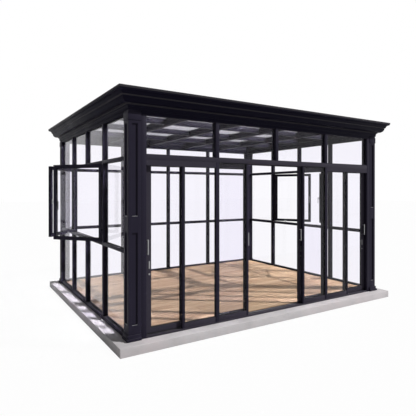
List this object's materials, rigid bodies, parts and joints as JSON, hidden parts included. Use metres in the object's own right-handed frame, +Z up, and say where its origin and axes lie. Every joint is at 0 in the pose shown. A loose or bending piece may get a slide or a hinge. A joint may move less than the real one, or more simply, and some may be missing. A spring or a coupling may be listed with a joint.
{
  "type": "glazed sunroom",
  "caption": "Freestanding glass sunroom with dark metal frames, sliding front doors, open side casements, moulded cornice and a flat glass roof on a low stone plinth.",
  "frame": {"origin": "middle of the underside of the plinth", "axes": "+X to the right along the front, +Y from the front to the back, +Z up"},
  "size_m": [5.4597, 3.9, 3.001],
  "materials": {
    "frame": "satin powder-coated aluminium",
    "glass": "clear sealed glass units",
    "stone": "honed light grey stone",
    "planks": "oiled tan plank floor",
    "silver": "satin anodised aluminium"
  },
  "bodies": {
    "building": {"plinth_slab": "stone", "floor_deck": "planks", "column_front_left": "frame", "column_front_right": "frame", "column_back_left": "frame", "column_back_right": "frame", "front_posts": "frame", "front_transom_beam": "frame", "door_heads_and_guides": "frame", "door_threshold": "frame", "running_rail": "silver", "front_transom_glass": "glass", "fixed_light_rails": "frame", "fixed_light_glass": "glass", "left_mullions": "frame", "left_rails": "frame", "left_glass": "glass", "left_sash_frames": "frame", "left_sash_glass": "glass", "right_mullions": "frame", "right_rails": "frame", "right_glass": "glass", "right_sash_frames": "frame", "right_sash_glass": "glass", "back_mullions": "frame", "back_rails": "frame", "back_glass": "glass", "header_beams": "frame", "cornice_front": "frame", "cornice_back": "frame", "cornice_left": "frame", "cornice_right": "frame", "rafters": "frame", "purlins": "frame", "roof_glass": "glass"},
    "leaf_outer_left": {"leaf_outer_left_frame": "frame", "leaf_outer_left_glass": "glass", "leaf_outer_left_handle": "silver"},
    "leaf_inner_left": {"leaf_inner_left_frame": "frame", "leaf_inner_left_glass": "glass", "leaf_inner_left_handle": "silver"},
    "leaf_inner_right": {"leaf_inner_right_frame": "frame", "leaf_inner_right_glass": "glass", "leaf_inner_right_handle": "silver"},
    "leaf_outer_right": {"leaf_outer_right_frame": "frame", "leaf_outer_right_glass": "glass", "leaf_outer_right_handle": "silver"}
  },
  "joints": [
    {"name": "leaf_outer_left_slide", "type": "slide", "parent": "building", "child": "leaf_outer_left", "axis": [1, 0, 0], "range_m": [0, 0.435]},
    {"name": "leaf_inner_left_slide", "type": "slide", "parent": "building", "child": "leaf_inner_left", "axis": [1, 0, 0], "range_m": [0, 0.475]},
    {"name": "leaf_inner_right_slide", "type": "slide", "parent": "building", "child": "leaf_inner_right", "axis": [-1, 0, 0], "range_m": [0, 0.475]},
    {"name": "leaf_outer_right_slide", "type": "slide", "parent": "building", "child": "leaf_outer_right", "axis": [-1, 0, 0], "range_m": [0, 0.435]}
  ]
}
